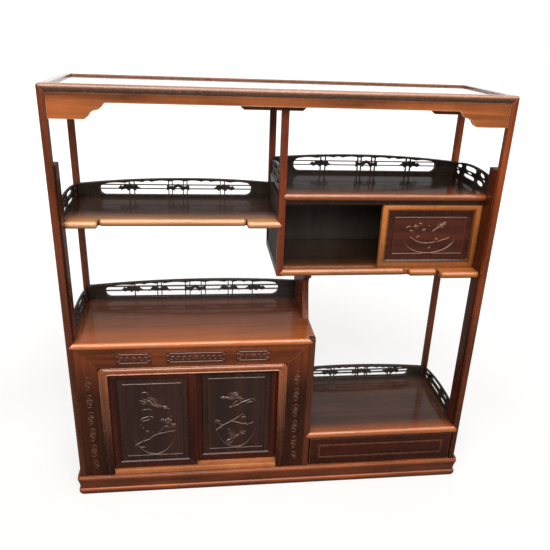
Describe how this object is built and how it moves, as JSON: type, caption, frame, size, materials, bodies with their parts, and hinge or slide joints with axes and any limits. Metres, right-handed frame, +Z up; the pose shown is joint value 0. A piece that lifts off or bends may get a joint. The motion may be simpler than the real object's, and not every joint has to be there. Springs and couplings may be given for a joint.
{
  "type": "chinese book cabinet",
  "caption": "Hardwood display cabinet of stepped open shelves with pierced galleries, a low cabinet and a box with sliding doors, and a drawer, on a moulded plinth.",
  "frame": {"origin": "middle of the footprint, on the floor under the plinth", "axes": "+X to the right along the width, +Y from the front to the back, +Z up"},
  "size_m": [0.966, 0.275, 0.96],
  "materials": {
    "frame_wood": "gloss varnish, red-brown",
    "top_panel_wood": "high gloss varnish, brown",
    "apron_wood": "gloss varnish, orange-brown",
    "gallery_wood": "satin varnish, near black brown",
    "shelf_wood": "high gloss varnish, dark brown",
    "face_wood": "gloss varnish, red-brown",
    "carved_panel_wood": "carved, satin varnish, dark red-brown",
    "inner_wood": "thin varnish, brown"
  },
  "bodies": {
    "cabinet": {"left_front_post": "frame_wood", "right_front_post": "frame_wood", "left_back_post": "frame_wood", "right_back_post": "frame_wood", "side_stiles": "frame_wood", "middle_front_post": "frame_wood", "middle_back_post": "frame_wood", "top_front_rail": "frame_wood", "top_back_rail": "frame_wood", "top_left_rail": "frame_wood", "top_right_rail": "frame_wood", "cabinet_corner_post": "frame_wood", "upright_board": "frame_wood", "top_panel": "top_panel_wood", "front_apron": "apron_wood", "back_aprons": "apron_wood", "side_aprons": "apron_wood", "cabinet_arch_moulding": "apron_wood", "upper_left_back_gallery": "gallery_wood", "upper_left_side_gallery": "gallery_wood", "upper_right_back_gallery": "gallery_wood", "upper_right_middle_gallery": "gallery_wood", "upper_right_side_gallery": "gallery_wood", "cabinet_back_gallery": "gallery_wood", "cabinet_side_gallery": "gallery_wood", "drawer_unit_back_gallery": "gallery_wood", "drawer_unit_side_gallery": "gallery_wood", "upper_left_shelf": "shelf_wood", "upper_right_shelf": "shelf_wood", "box_bottom_board": "shelf_wood", "cabinet_top": "shelf_wood", "drawer_unit_top": "shelf_wood", "cabinet_face_frame": "face_wood", "box_head_rail": "face_wood", "cabinet_sill": "face_wood", "cabinet_head_track": "face_wood", "plinth_front_rail": "face_wood", "plinth_side_rails": "face_wood", "base_board": "inner_wood", "plinth_back_rail": "inner_wood", "top_cross_batten": "inner_wood", "box_left_panel": "inner_wood", "box_right_panel": "inner_wood", "box_back_panel": "inner_wood", "cabinet_left_panel": "inner_wood", "cabinet_partition": "inner_wood", "cabinet_back_panel": "inner_wood", "drawer_unit_right_panel": "inner_wood", "drawer_unit_back_panel": "inner_wood", "drawer_guide": "inner_wood"},
    "box_door": {"box_door_frame": "face_wood", "box_door_panel": "carved_panel_wood"},
    "left_door": {"left_door_frame": "face_wood", "left_door_panel": "carved_panel_wood"},
    "right_door": {"right_door_frame": "face_wood", "right_door_panel": "carved_panel_wood"},
    "drawer": {"drawer_front": "face_wood", "drawer_sides": "inner_wood", "drawer_back": "inner_wood", "drawer_bottom": "inner_wood"}
  },
  "joints": [
    {"name": "box_door_slide", "type": "slide", "parent": "cabinet", "child": "box_door", "axis": [-1, 0, 0], "range_m": [0, 0.219]},
    {"name": "left_door_slide", "type": "slide", "parent": "cabinet", "child": "left_door", "axis": [1, 0, 0], "range_m": [0, 0.198]},
    {"name": "right_door_slide", "type": "slide", "parent": "cabinet", "child": "right_door", "axis": [-1, 0, 0], "range_m": [0, 0.198]},
    {"name": "drawer_slide", "type": "slide", "parent": "cabinet", "child": "drawer", "axis": [0, -1, 0], "range_m": [0, 0.2]}
  ]
}
